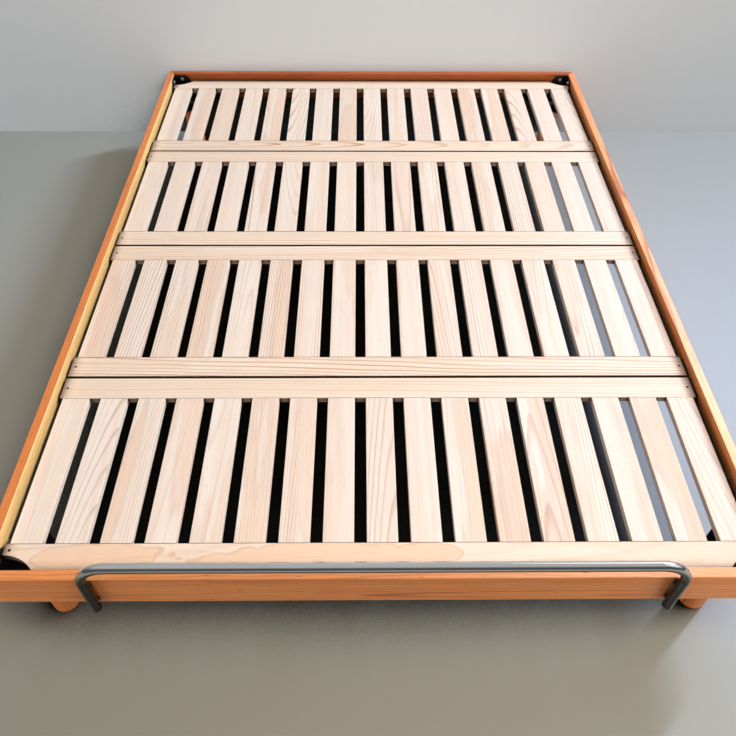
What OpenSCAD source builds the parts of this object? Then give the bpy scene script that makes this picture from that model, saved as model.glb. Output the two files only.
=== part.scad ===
// Low platform bed: four hardwood rails on short round legs, steel corner brackets,
// four loose slatted panels on steel ledges, and a bent tube that stops the mattress at the foot.
// Millimetres. X runs across the bed, +Y towards the head, +Z up.
// The origin lies on the floor, at the centre of the bed's overall length and width.

/* [Sleeping area] */
// Clear width between the side rails
inner_w = 1526; // [900:1:1900]
// Clear length between the head and foot rails
inner_l = 2060; // [1900:1:2260]
// Height of the slats' top face above the floor
deck_z = 240; // [225:1:400]

/* [Rails] */
// Thickness of a rail
rail_t = 22; // [20:0.5:35]
// Height of a rail
rail_h = 94; // [88:1:100]
// How far the rails stand above the slats
rail_lip = 24; // [20:0.5:28]
// Eased radius along the rails' long edges
rail_edge_r = 2; // [0.5:0.5:4]
// Radius of the frame's outer upright corners
corner_r = 10; // [1:0.5:14]

/* [Slatted panels] */
// Width of a slat
slat_w = 63.5; // [50:0.5:75]
// Gap between slats that their number is chosen for
slat_gap_wanted = 26; // [15:0.5:35]
// Thickness of slats and cross members
slat_t = 16; // [14:0.5:20]
// Width of a cross member
member_w = 63; // [58:0.5:75]
// Length of cross member beyond the outermost slats
member_overhang = 7.5; // [4:0.5:12]
// Eased radius along the panels' long edges
panel_edge_r = 1.2; // [0.4:0.1:2.5]
// Clearance between a panel and each side rail
panel_side_gap = 6; // [5:0.5:9]
// Clearance between the outer panels and the end rails
panel_end_gap = 5.5; // [5:0.5:12]
// Clearance between neighbouring panels
panel_gap = 7; // [1:0.5:10]

/* [Slat joints] */
// Length of a slat's stub tenon
tenon_l = 18; // [10:1:24]
// Width of a stub tenon
tenon_w = 42; // [20:1:48]
// Thickness of a stub tenon
tenon_t = 6; // [4:0.5:8]
// Clearance all round a tenon in its mortise
mortise_clear = 0.2; // [0.1:0.05:0.4]

/* [Panel corner notches] */
// Radius of the arc cut from an outer panel's corner
notch_r = 86; // [70:1:100]
// Space along the bed between a notched member's end and the head of the bracket's bolt
notch_clear = 8; // [2:0.5:10]

/* [Locating pins] */
// Diameter of a locating pin
pin_d = 5; // [4:0.5:6]
// Radial clearance of a pin in a cross member
pin_clear = 0.5; // [0.3:0.1:1]
// Distance from a member's end to its pin
pin_inset = 11; // [9:0.5:13]
// Distance from a notched member's inner edge to its pin
notched_pin_inset = 14; // [9:0.5:18]
// How far a pin's tip lies below the slats' top face
pin_recess = 5; // [1:0.5:8]

/* [Steel ledges] */
// Width and height of the ledge angle
ledge_w = 25; // [22:0.5:30]
// Thickness of the ledge angle
ledge_t = 3; // [2:0.5:4]
// Space between a bracket's flange and the ledge's upright leg
ledge_clear = 4; // [2:0.5:30]
// Distance from the frame's corner to the side ledge's coped tongue
ledge_tongue_start = 45; // [42:1:48]

/* [Corner brackets] */
// Thickness of the bracket's plates
bracket_t = 3; // [2.5:0.5:4]
// Height of the bracket above the slats' top face
bracket_rise = 18; // [12:0.5:20]
// Level width of a flange at its top
flange_top_w = 48; // [44:1:50]
// Slope of a flange's outer edge, in degrees from level
flange_slope = 58; // [45:1:60]
// Radius of a flange's upper corner
flange_corner_r = 8; // [1:0.5:14]
// Height of the low strip of a flange beside the gusset
flange_strip_h = 12; // [8:1:16]
// Length of the gusset along each rail
gusset_leg = 176; // [170:1:200]
// Width of the cut ends of the gusset's sharp corners
gusset_nose = 8; // [4:1:15]
// Height of the gusset's underside above the rails' bottom edge
gusset_lift = 3; // [1:0.5:5]

/* [Bracket bolts] */
// Diameter of a bolt's shank
bolt_d = 8; // [6:1:8]
// Diameter of a bolt's button head
bolt_head_d = 14; // [13:0.5:16]
// Height of a button head
bolt_head_h = 4.4; // [3:0.1:5]
// Distance from the frame's corner to the upper bolts
upper_bolt_x = 29; // [26:1:31]
// Height of the upper bolts above the slats' top face
upper_bolt_z = 3; // [0:0.5:4]
// Distance from the frame's corner to the lower bolts
lower_bolt_x = 72; // [66:1:80]
// Height of the lower bolts above the gusset
lower_bolt_z = 14; // [13:0.5:16]
// Outer diameter of a threaded insert
insert_d = 12; // [11:0.5:13]
// Depth of a threaded insert in the rail
insert_l = 14; // [10:1:16]

/* [Legs] */
// Diameter of a leg
leg_d = 60; // [56:1:70]
// Distance from the rails' inner faces to a leg's centre
leg_inset = 60; // [54:1:70]
// Chamfer round a leg's bottom edge
leg_chamfer = 3; // [1:0.5:6]
// Chamfer round a leg's top edge
leg_top_chamfer = 1; // [0.5:0.5:4]
// Diameter of a hanger stud
stud_d = 8; // [6:1:10]
// Depth of a stud in its leg
stud_depth = 45; // [30:1:60]
// Length of a stud above its nut
stud_proud = 3; // [1:0.5:8]
// Width across the flats of a stud's nut
nut_flats = 13; // [10:0.5:17]
// Height of a stud's nut
nut_h = 6.5; // [5:0.5:8]
// Diameter of a felt glide
glide_d = 44; // [30:1:48]
// Thickness of a felt glide
glide_t = 4; // [3:0.5:6]
// Depth of the glide's recess in the leg
glide_recess = 2; // [1:0.5:2.5]

/* [Centre beam] */
// Width of the centre beam
beam_w = 45; // [40:1:60]
// Length of a beam bracket's foot under the beam
beam_seat_l = 60; // [45:1:90]
// Thickness of a beam bracket
beam_bracket_t = 3; // [2:0.5:4]
// Space between a beam bracket's upright leg and the ledge above it
beam_bracket_clear = 2; // [1:0.5:4]

/* [Mattress stop] */
// Outer diameter of the tube
stop_tube_d = 20; // [16:0.5:24]
// Wall of the tube
stop_wall = 1.5; // [1:0.25:2.5]
// Distance between the centre lines of the tube's two legs
stop_span = 1134; // [500:1:1300]
// Bend radius at the tube's centre line
stop_bend_r = 60; // [40:1:80]
// Height of the bar's centre line above the slats' top face
stop_rise = 100; // [85:1:140]
// Height of the tube's cut ends above the rails' bottom edge
stop_end_lift = 4; // [-20:1:15]
// Distance from the tube's cut end to its lower screw
stop_low_screw = 15; // [10:1:25]
// Distance from the foot rail's top edge to the tube's upper screw
stop_high_screw = 17; // [12:1:30]
// Space between the tube and the foot rail
stop_gap = 4; // [3:0.5:8]

/* [Small screws] */
// Shank diameter of the ledge and beam screws
screw_d = 4; // [3:0.5:4.5]
// Head diameter of the ledge and beam screws
screw_head_d = 8; // [7:0.5:9]
// Head height of the ledge and beam screws
screw_head_h = 2.6; // [2:0.1:3]
// Depth of a ledge or beam screw in the wood
screw_bite = 14; // [10:1:16]
// Shank diameter of the mattress stop's screws
stop_screw_d = 5; // [4:0.5:6]
// Head diameter of the mattress stop's screws
stop_screw_head_d = 10; // [9:0.5:12]
// Height of the countersunk head's cone
stop_screw_head_h = 3; // [2:0.1:4]
// Length of a mattress stop's screw inside the tube
stop_screw_proud = 3; // [1:0.5:6]
// Diameter of the mattress stop's spacers
spacer_d = 12; // [11:0.5:14]
// Radial clearance of fixed screws, studs and inserts in their holes
hole_clear = 0.2; // [0.1:0.05:0.4]

/* [Hidden] */

$fn = 64;
cut = 1;            // how far a cutting shape runs past the face it cuts
nut_washer_h = 1.5; // collar under a flange nut
nut_collar = 1.35;  // its diameter for each millimetre across the nut's flats
seat_clear = 0.1;   // round pieces in or against round seats
sink_rim = 0.4;     // straight rim of a countersink
socket_depth = 2;   // hexagon socket of a countersunk screw
hole_spare = 1;     // blind hole past the end of what it holds

// Colours
cherry = [0.70, 0.40, 0.22];
pine = [0.93, 0.86, 0.76];
black_steel = [0.05, 0.05, 0.06];
bright_steel = [0.76, 0.78, 0.79];
brass = [0.78, 0.62, 0.30];
felt = [0.35, 0.33, 0.31];

// Levels above the floor
rail_top_z = deck_z + rail_lip;
rail_bottom_z = rail_top_z - rail_h;
slat_bottom_z = deck_z - slat_t;
gusset_z = rail_bottom_z + gusset_lift;
gusset_top_z = gusset_z + bracket_t;
leg_bottom_z = glide_t - glide_recess;

// The frame in plan, measured from the middle of the sleeping area
half_w = inner_w / 2;
half_l = inner_l / 2;
outer_w = inner_w + 2 * rail_t;
outer_l = inner_l + 2 * rail_t;
leg_x = half_w - leg_inset;
leg_y = half_l - leg_inset;

// The tube at the foot moves the middle of the whole bed away from the middle of the sleeping area
frame_y = (stop_gap + stop_tube_d) / 2;

// Panels and slats
panel_count = 4;
panel_l = (inner_l - 2 * panel_end_gap - (panel_count - 1) * panel_gap) / panel_count;
slat_l = panel_l - 2 * member_w;
member_l = inner_w - 2 * panel_side_gap;
field_w = member_l - 2 * member_overhang;
slat_count = round((field_w + slat_gap_wanted) / (slat_w + slat_gap_wanted));
slat_pitch = (field_w - slat_w) / (slat_count - 1);
pin_x = member_l / 2 - pin_inset;
notch_depth = upper_bolt_x + bolt_head_d / 2 + notch_clear - panel_end_gap;
notch_centre_out = notch_r - notch_depth;

// Ledges and their screws
flange_run = (deck_z + bracket_rise - slat_bottom_z + ledge_w) / tan(flange_slope);
ledge_start = flange_top_w + flange_run + ledge_clear;
ledge_long_screws = 6;
ledge_short_screws = 4;
ledge_screw_margin = 40;
ledge_screw_z = slat_bottom_z - ledge_t - (ledge_w - ledge_t) / 2;
tongue_clear = bracket_t + 1;

// Centre beam
beam_h = slat_bottom_z - gusset_z - beam_bracket_t;
beam_bottom_z = gusset_z + beam_bracket_t;
beam_bracket_h = slat_bottom_z - ledge_w - beam_bracket_clear - gusset_z;
beam_end_gap = 1;
beam_l = inner_l - 2 * (ledge_w + beam_end_gap);
beam_screw_z = gusset_z + beam_bracket_t + (beam_bracket_h - beam_bracket_t) / 2;
beam_bracket_screw_x = beam_w / 4;
beam_seat_screw_y = beam_l / 2 - beam_seat_l / 2;
beam_stud_up = 30;
stud_above = bracket_t + nut_h + stud_proud;

// Mattress stop
stop_y = -half_l - rail_t - stop_gap - stop_tube_d / 2;
stop_bar_z = deck_z + stop_rise;
stop_end_z = rail_bottom_z + stop_end_lift;
stop_low_screw_z = stop_end_z + stop_low_screw;
stop_high_screw_z = rail_top_z - stop_high_screw;

function panel_y(n) = half_l - panel_end_gap - panel_l / 2 - (n - 1) * (panel_l + panel_gap);
function spread(count, length) = [for (i = [0 : count - 1]) -length / 2 + i * length / (count - 1)];

// ---------------------------------------------------------------- shared shapes

// Rectangle with rounded corners, centred
module rounded_rect(w, h, r) {
    square([w - 2 * r, h], center = true);
    square([w, h - 2 * r], center = true);
    for (x = [-1, 1], y = [-1, 1])
        translate([x * (w / 2 - r), y * (h / 2 - r)]) circle(r);
}

// Bar with eased long edges, centred on its length, which lies along X
module bar_x(length, w, h, r) {
    rotate([90, 0, 90]) linear_extrude(length, center = true) rounded_rect(w, h, r);
}

// Bar with eased long edges, centred on its length, which lies along Y
module bar_y(length, w, h, r) {
    rotate([90, 0, 0]) linear_extrude(length, center = true) rounded_rect(w, h, r);
}

// Plain cylinders along X and Y that start at the origin
module rod_x(d, length) { rotate([0, 90, 0]) cylinder(d = d, h = length); }
module rod_y(d, length) { rotate([-90, 0, 0]) cylinder(d = d, h = length); }

// Places children, drawn at the sleeping area's middle, in the whole bed's frame
module in_frame() { translate([0, frame_y, 0]) children(); }

// Puts a shape drawn for the head right corner at another corner: sx and sy are 1 or -1
module at_corner(sx, sy) {
    in_frame() mirror([sx < 0 ? 1 : 0, 0, 0]) mirror([0, sy < 0 ? 1 : 0, 0])
        translate([half_w, half_l, 0]) children();
}

module at_each_corner() {
    for (sx = [-1, 1], sy = [-1, 1]) at_corner(sx, sy) children();
}

// Positions of the bolts on one flange: distance from the corner, height above the floor
flange_bolts = [
    [upper_bolt_x, deck_z + upper_bolt_z],
    [lower_bolt_x, gusset_top_z + lower_bolt_z]
];

// Runs children at each bolt of a corner, with the bolt's axis along +Z into the rail
// and the rail's inner face at Z = 0
module at_flange_bolts() {
    for (b = flange_bolts) {
        translate([-b[0], 0, b[1]]) rotate([-90, 0, 0]) children();
        translate([0, -b[0], b[1]]) rotate([0, 90, 0]) children();
    }
}

// ---------------------------------------------------------------- rails

// Plan of the whole frame's outside, with rounded corners
module frame_plan() { rounded_rect(outer_w, outer_l, corner_r); }

// Plan of a mitred rail whose inner face, of the given length, lies on the X axis
module mitred_plan(length) {
    polygon([
        [-length / 2, 0], [length / 2, 0],
        [length / 2 + rail_t, rail_t], [-length / 2 - rail_t, rail_t]
    ]);
}

// A rail along X with its inner face at y = 0 and its thickness towards +Y
module rail_blank(length) {
    translate([0, rail_t / 2, rail_bottom_z + rail_h / 2])
        bar_x(length + 2 * rail_t, rail_t, rail_h, rail_edge_r);
}

// Holes for the threaded inserts at both ends of a rail like rail_blank
module insert_holes(length) {
    for (s = [-1, 1], b = flange_bolts)
        translate([s * (length / 2 - b[0]), -cut, b[1]])
            rod_y(insert_d + 2 * hole_clear, insert_l + cut);
}

// Pilot holes for the ledge screws in a rail like rail_blank
module ledge_pilots(count, length) {
    for (x = spread(count, length - 2 * ledge_start - 2 * ledge_screw_margin))
        translate([x, -cut, ledge_screw_z]) rod_y(screw_d + 2 * hole_clear, screw_bite + cut);
}

// Pilot holes for the beam bracket in an end rail
module beam_pilots() {
    for (s = [-1, 1])
        translate([s * beam_bracket_screw_x, -cut, beam_screw_z])
            rod_y(screw_d + 2 * hole_clear, screw_bite + cut);
}

// Clearance holes for the mattress stop's screws, with countersinks on the rail's inner face
module stop_rail_holes() {
    for (s = [-1, 1], z = [stop_low_screw_z, stop_high_screw_z])
        translate([s * stop_span / 2, 0, z]) rotate([-90, 0, 0]) {
            translate([0, 0, -cut]) cylinder(d = stop_screw_d + 2 * hole_clear, h = rail_t + 2 * cut);
            countersink(hole_clear);
        }
}

// Cone of a countersunk screw head, with its flat face at Z = 0 and narrowing towards +Z
module countersink(clear) {
    rotate_extrude() polygon([
        [0, -clear], [stop_screw_head_d / 2 + clear, -clear],
        [stop_screw_head_d / 2 + clear, sink_rim],
        [stop_screw_d / 2 + clear, stop_screw_head_h + sink_rim], [0, stop_screw_head_h + sink_rim]
    ]);
}

module side_rail() {
    color(cherry) intersection() {
        difference() {
            translate([half_w, 0, 0]) rotate([0, 0, -90]) rail_blank(inner_l);
            translate([half_w, 0, 0]) rotate([0, 0, -90]) {
                insert_holes(inner_l);
                ledge_pilots(ledge_long_screws, inner_l);
            }
        }
        linear_extrude(rail_top_z + cut) intersection() {
            translate([half_w, 0]) rotate(-90) mitred_plan(inner_l);
            frame_plan();
        }
    }
}

module end_rail(is_foot) {
    color(cherry) intersection() {
        difference() {
            translate([0, half_l, 0]) rail_blank(inner_w);
            translate([0, half_l, 0]) {
                insert_holes(inner_w);
                ledge_pilots(ledge_short_screws, inner_w);
                beam_pilots();
                if (is_foot) stop_rail_holes();
            }
        }
        linear_extrude(rail_top_z + cut) intersection() {
            translate([0, half_l]) mitred_plan(inner_w);
            frame_plan();
        }
    }
}

module side_rail_right() { in_frame() side_rail(); }
module side_rail_left() { in_frame() mirror([1, 0, 0]) side_rail(); }
module head_rail() { in_frame() end_rail(false); }
module foot_rail() { in_frame() mirror([0, 1, 0]) end_rail(true); }

// ---------------------------------------------------------------- corner brackets

// Outline of a flange: X is the distance from the corner, Y the height above the floor
module flange_outline() {
    top_z = deck_z + bracket_rise;
    strip_z = gusset_z + flange_strip_h;
    round_off = flange_corner_r * tan(flange_slope / 2);
    polygon([
        [0, gusset_z], [gusset_leg - gusset_nose, gusset_z], [gusset_leg - gusset_nose, strip_z],
        [flange_top_w + (top_z - strip_z) / tan(flange_slope), strip_z],
        [flange_top_w + round_off * cos(flange_slope), top_z - round_off * sin(flange_slope)],
        [flange_top_w - round_off, top_z], [0, top_z]
    ]);
    translate([flange_top_w - round_off, top_z - flange_corner_r]) circle(flange_corner_r);
}

module gusset_outline() {
    polygon([
        [0, 0], [-gusset_leg, 0], [-gusset_leg, -gusset_nose], [-gusset_nose, -gusset_leg],
        [0, -gusset_leg]
    ]);
}

// Bracket drawn for the head right corner, with the frame's inner corner at X = Y = 0
module corner_bracket() {
    color(black_steel) difference() {
        union() {
            mirror([1, 0, 0]) rotate([90, 0, 0]) linear_extrude(bracket_t) flange_outline();
            rotate([90, 0, -90]) linear_extrude(bracket_t) flange_outline();
            translate([0, 0, gusset_z]) linear_extrude(bracket_t) gusset_outline();
        }
        at_flange_bolts() translate([0, 0, -bracket_t - cut])
            cylinder(d = bolt_d + 2 * hole_clear, h = bracket_t + 2 * cut);
        translate([-leg_inset, -leg_inset, gusset_z - cut])
            cylinder(d = stud_d + 2 * hole_clear, h = bracket_t + 2 * cut);
    }
}

module corner_bracket_head_left() { at_corner(-1, 1) corner_bracket(); }
module corner_bracket_head_right() { at_corner(1, 1) corner_bracket(); }
module corner_bracket_foot_left() { at_corner(-1, -1) corner_bracket(); }
module corner_bracket_foot_right() { at_corner(1, -1) corner_bracket(); }

// Button head bolt with a hexagon socket, its head's flat face at Z = 0 and its shank along +Z
module button_bolt(shank) {
    difference() {
        union() {
            rotate_extrude() polygon([
                [0, -bolt_head_h], [bolt_head_d * 0.28, -bolt_head_h],
                [bolt_head_d * 0.42, -bolt_head_h * 0.72], [bolt_head_d / 2, -bolt_head_h * 0.22],
                [bolt_head_d / 2, 0], [0, 0]
            ]);
            cylinder(d = bolt_d, h = shank);
        }
        translate([0, 0, -bolt_head_h - cut]) cylinder(d = bolt_d * 0.7, h = cut + bolt_head_h * 0.6, $fn = 6);
    }
}

module bracket_bolts() {
    color(bright_steel) at_each_corner() at_flange_bolts()
        translate([0, 0, -bracket_t]) button_bolt(bracket_t + insert_l - cut);
}

module bracket_inserts() {
    color(brass) at_each_corner() at_flange_bolts() difference() {
        cylinder(d = insert_d, h = insert_l);
        translate([0, 0, -cut]) cylinder(d = bolt_d + 2 * hole_clear, h = insert_l + 2 * cut);
    }
}

// ---------------------------------------------------------------- legs

// A turned leg that stands on its glide and reaches up to top_z
module turned_leg(top_z) {
    color(cherry) difference() {
        rotate_extrude() polygon([
            [0, leg_bottom_z], [leg_d / 2 - leg_chamfer, leg_bottom_z],
            [leg_d / 2, leg_bottom_z + leg_chamfer], [leg_d / 2, top_z - leg_top_chamfer],
            [leg_d / 2 - leg_top_chamfer, top_z], [0, top_z]
        ]);
        translate([0, 0, leg_bottom_z - cut])
            cylinder(d = glide_d + 2 * hole_clear, h = glide_recess + cut);
        translate([0, 0, top_z - stud_depth])
            cylinder(d = stud_d + 2 * hole_clear, h = stud_depth + cut);
    }
}

module corner_leg(sx, sy) {
    in_frame() translate([sx * leg_x, sy * leg_y, 0]) turned_leg(gusset_z);
}

module leg_head_left() { corner_leg(-1, 1); }
module leg_head_right() { corner_leg(1, 1); }
module leg_foot_left() { corner_leg(-1, -1); }
module leg_foot_right() { corner_leg(1, -1); }
module centre_leg() { in_frame() turned_leg(beam_bottom_z); }

module leg_studs() {
    color(bright_steel) in_frame() {
        for (sx = [-1, 1], sy = [-1, 1])
            translate([sx * leg_x, sy * leg_y, gusset_z - stud_depth])
                cylinder(d = stud_d, h = stud_depth + stud_above);
        translate([0, 0, beam_bottom_z - stud_depth]) cylinder(d = stud_d, h = stud_depth + beam_stud_up);
    }
}

module leg_nuts() {
    color(bright_steel) in_frame() for (sx = [-1, 1], sy = [-1, 1])
        translate([sx * leg_x, sy * leg_y, gusset_top_z]) difference() {
            union() {
                cylinder(d = nut_flats * nut_collar, h = nut_washer_h);
                cylinder(d = nut_flats / cos(30), h = nut_h, $fn = 6);
            }
            translate([0, 0, -cut]) cylinder(d = stud_d + 2 * hole_clear, h = nut_h + 2 * cut);
        }
}

module leg_glides() {
    color(felt) in_frame() for (p = [[-1, -1], [-1, 1], [1, -1], [1, 1], [0, 0]])
        translate([p[0] * leg_x, p[1] * leg_y, 0]) cylinder(d = glide_d, h = glide_t);
}

// ---------------------------------------------------------------- ledges and pins

// Angle along X under the panels, against a rail's inner face at y = 0, on the side of -Y.
// Its flat leg may run on past the upright one as a coped tongue that passes the corner bracket.
module ledge(length, tongue_length, screws) {
    level_l = length - 2 * ledge_start;
    color(black_steel) difference() {
        union() {
            translate([-level_l / 2, -ledge_w, slat_bottom_z - ledge_t]) cube([level_l, ledge_w, ledge_t]);
            translate([-level_l / 2, -ledge_t, slat_bottom_z - ledge_w]) cube([level_l, ledge_t, ledge_w]);
            if (tongue_length > level_l)
                translate([-tongue_length / 2, -ledge_w, slat_bottom_z - ledge_t])
                    cube([tongue_length, ledge_w - tongue_clear, ledge_t]);
        }
        for (x = spread(screws, level_l - 2 * ledge_screw_margin))
            translate([x, -ledge_t - cut, ledge_screw_z])
                rod_y(screw_d + 2 * hole_clear, ledge_t + 2 * cut);
    }
}

// Heights along the bed of every locating pin, from the middle of the sleeping area
pin_ys = [
    for (n = [1 : panel_count], s = [-1, 1])
        (n == 1 && s > 0) ? panel_y(n) + panel_l / 2 - member_w + notched_pin_inset
        : (n == panel_count && s < 0) ? panel_y(n) - panel_l / 2 + member_w - notched_pin_inset
        : panel_y(n) + s * (panel_l - member_w) / 2
];

module side_ledge() {
    difference() {
        translate([half_w, 0, 0]) rotate([0, 0, -90])
            ledge(inner_l, inner_l - 2 * ledge_tongue_start, ledge_long_screws);
        for (y = pin_ys) translate([pin_x, y, slat_bottom_z - ledge_t - cut])
            cylinder(d = pin_d + 2 * seat_clear, h = ledge_t + 2 * cut);
    }
}

module end_ledge() {
    translate([0, half_l, 0]) ledge(inner_w, 0, ledge_short_screws);
}

module side_ledge_right() { color(black_steel) in_frame() side_ledge(); }
module side_ledge_left() { color(black_steel) in_frame() mirror([1, 0, 0]) side_ledge(); }
module end_ledge_head() { in_frame() end_ledge(); }
module end_ledge_foot() { in_frame() mirror([0, 1, 0]) end_ledge(); }

// Pan head screw with its head's flat face at Z = 0 and its shank along +Z
module pan_screw(length) {
    difference() {
        union() {
            rotate_extrude() polygon([
                [0, -screw_head_h], [screw_head_d * 0.3, -screw_head_h],
                [screw_head_d / 2, -screw_head_h * 0.45], [screw_head_d / 2, 0], [0, 0]
            ]);
            cylinder(d = screw_d, h = length - screw_d / 2);
            translate([0, 0, length - screw_d / 2]) cylinder(d1 = screw_d, d2 = 0.6, h = screw_d / 2, $fn = 24);
        }
        for (a = [0, 90]) rotate(a)
            translate([-screw_head_d * 0.25, -0.5, -screw_head_h - cut])
                cube([screw_head_d * 0.5, 1, cut + screw_head_h * 0.5]);
    }
}

module ledge_screw_row(count, length) {
    for (x = spread(count, length - 2 * ledge_start - 2 * ledge_screw_margin))
        translate([x, -ledge_t, ledge_screw_z]) rotate([-90, 0, 0]) pan_screw(ledge_t + screw_bite - cut);
}

module ledge_screws() {
    color(bright_steel) in_frame() {
        for (s = [0, 1]) {
            mirror([s, 0, 0]) translate([half_w, 0, 0]) rotate([0, 0, -90])
                ledge_screw_row(ledge_long_screws, inner_l);
            mirror([0, s, 0]) translate([0, half_l, 0]) ledge_screw_row(ledge_short_screws, inner_w);
        }
    }
}

module locating_pins() {
    color(black_steel) in_frame() for (s = [-1, 1], y = pin_ys)
        translate([s * pin_x, y, slat_bottom_z - ledge_t])
            cylinder(d = pin_d, h = ledge_t + slat_t - pin_recess);
}

// ---------------------------------------------------------------- centre beam

module centre_beam() {
    color(pine) in_frame() difference() {
        translate([0, 0, beam_bottom_z + beam_h / 2]) bar_y(beam_l, beam_w, beam_h, panel_edge_r);
        translate([0, 0, beam_bottom_z - cut])
            cylinder(d = stud_d + 2 * hole_clear, h = beam_stud_up + cut + hole_spare);
        for (s = [-1, 1]) translate([0, s * beam_seat_screw_y, beam_bottom_z - cut])
            cylinder(d = screw_d + 2 * hole_clear, h = screw_bite + cut);
    }
}

// Angle under a beam's end, its upright leg on the head rail below the ledge
module beam_bracket() {
    foot_l = ledge_w + beam_end_gap + beam_seat_l;
    color(black_steel) difference() {
        union() {
            translate([-beam_w / 2, half_l - foot_l, gusset_z]) cube([beam_w, foot_l, beam_bracket_t]);
            translate([-beam_w / 2, half_l - beam_bracket_t, gusset_z])
                cube([beam_w, beam_bracket_t, beam_bracket_h]);
        }
        for (s = [-1, 1]) translate([s * beam_bracket_screw_x, half_l - beam_bracket_t - cut, beam_screw_z])
            rod_y(screw_d + 2 * hole_clear, beam_bracket_t + 2 * cut);
        translate([0, beam_seat_screw_y, gusset_z - cut])
            cylinder(d = screw_d + 2 * hole_clear, h = beam_bracket_t + 2 * cut);
    }
}

module beam_bracket_head() { in_frame() beam_bracket(); }
module beam_bracket_foot() { in_frame() mirror([0, 1, 0]) beam_bracket(); }

module beam_screws() {
    color(bright_steel) in_frame() for (s = [0, 1]) mirror([0, s, 0]) {
        for (x = [-1, 1])
            translate([x * beam_bracket_screw_x, half_l - beam_bracket_t, beam_screw_z])
                rotate([-90, 0, 0]) pan_screw(beam_bracket_t + screw_bite - cut);
        translate([0, beam_seat_screw_y, gusset_z]) pan_screw(beam_bracket_t + screw_bite - cut);
    }
}

// ---------------------------------------------------------------- mattress stop

// The bent tube's solid path at diameter d, an inverted U in the plane Y = 0
module stop_path(d) {
    straight_x = stop_span / 2 - stop_bend_r;
    straight_z = stop_bar_z - stop_bend_r;
    translate([-straight_x, 0, stop_bar_z]) rod_x(d, 2 * straight_x);
    for (s = [0, 1]) mirror([s, 0, 0]) {
        translate([stop_span / 2, 0, stop_end_z]) cylinder(d = d, h = straight_z - stop_end_z);
        translate([straight_x, 0, straight_z]) rotate([90, 0, 0])
            rotate_extrude(angle = 90) translate([stop_bend_r, 0]) circle(d = d);
    }
}

module mattress_stop() {
    color(bright_steel) in_frame() translate([0, stop_y, 0]) difference() {
        stop_path(stop_tube_d);
        stop_path(stop_tube_d - 2 * stop_wall);
        for (s = [-1, 1]) {
            translate([s * stop_span / 2, 0, stop_end_z - cut])
                cylinder(d = stop_tube_d - 2 * stop_wall, h = 2 * cut);
            for (z = [stop_low_screw_z, stop_high_screw_z])
                translate([s * stop_span / 2, 0, z]) rod_y(stop_screw_d + 2 * hole_clear, stop_tube_d);
        }
    }
}

module stop_spacers() {
    color(bright_steel) in_frame() for (s = [-1, 1], z = [stop_low_screw_z, stop_high_screw_z])
        translate([s * stop_span / 2, 0, z]) difference() {
            translate([0, stop_y, 0]) rod_y(spacer_d, stop_tube_d / 2 + stop_gap);
            translate([0, stop_y, -spacer_d]) cylinder(d = stop_tube_d + 2 * seat_clear, h = 2 * spacer_d);
            translate([0, stop_y - cut, 0]) rod_y(stop_screw_d + 2 * hole_clear, stop_tube_d + 2 * cut);
        }
}

module stop_screws() {
    reach = rail_t + stop_gap + stop_wall + stop_screw_proud;
    color(bright_steel) in_frame() for (s = [-1, 1], z = [stop_low_screw_z, stop_high_screw_z])
        translate([s * stop_span / 2, -half_l, z]) rotate([90, 0, 0]) difference() {
            union() {
                countersink(0);
                cylinder(d = stop_screw_d, h = reach);
            }
            translate([0, 0, -cut]) cylinder(d = stop_screw_d * 0.6, h = cut + socket_depth, $fn = 6);
        }
}

// ---------------------------------------------------------------- slatted panels

// Cross member along X, centred, with mortises on the side of -Y
module member_blank() {
    difference() {
        bar_x(member_l, member_w, slat_t, panel_edge_r);
        for (x = spread(slat_count, field_w - slat_w))
            translate([x - tenon_w / 2 - mortise_clear, -member_w / 2 - cut, -tenon_t / 2 - mortise_clear])
                cube([tenon_w + 2 * mortise_clear, tenon_l + 2 * mortise_clear + cut,
                      tenon_t + 2 * mortise_clear]);
    }
}

// Cross member of a panel with its slats on the side of -Y. A notched one is an outer panel's end
module cross_member(notched) {
    pin_y = notched ? -member_w / 2 + notched_pin_inset : 0;
    color(pine) difference() {
        member_blank();
        for (s = [-1, 1]) {
            translate([s * pin_x, pin_y, -slat_t]) cylinder(d = pin_d + 2 * pin_clear, h = 2 * slat_t);
            if (notched) translate([s * member_l / 2, member_w / 2 + notch_centre_out, -slat_t])
                cylinder(r = notch_r, h = 2 * slat_t, $fn = 128);
        }
    }
}

// Puts a panel's child, drawn at the panel's centre, where panel n lies
module in_panel(n) {
    in_frame() translate([0, panel_y(n), deck_z - slat_t / 2]) children();
}

module rear_member(n) {
    in_panel(n) translate([0, (panel_l - member_w) / 2, 0]) cross_member(n == 1);
}

module front_member(n) {
    in_panel(n) mirror([0, 1, 0]) translate([0, (panel_l - member_w) / 2, 0]) cross_member(n == panel_count);
}

module slats(n) {
    color(pine) in_panel(n) for (x = spread(slat_count, field_w - slat_w)) translate([x, 0, 0]) {
        bar_y(slat_l, slat_w, slat_t, panel_edge_r);
        cube([tenon_w, slat_l + 2 * tenon_l, tenon_t], center = true);
    }
}

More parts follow.
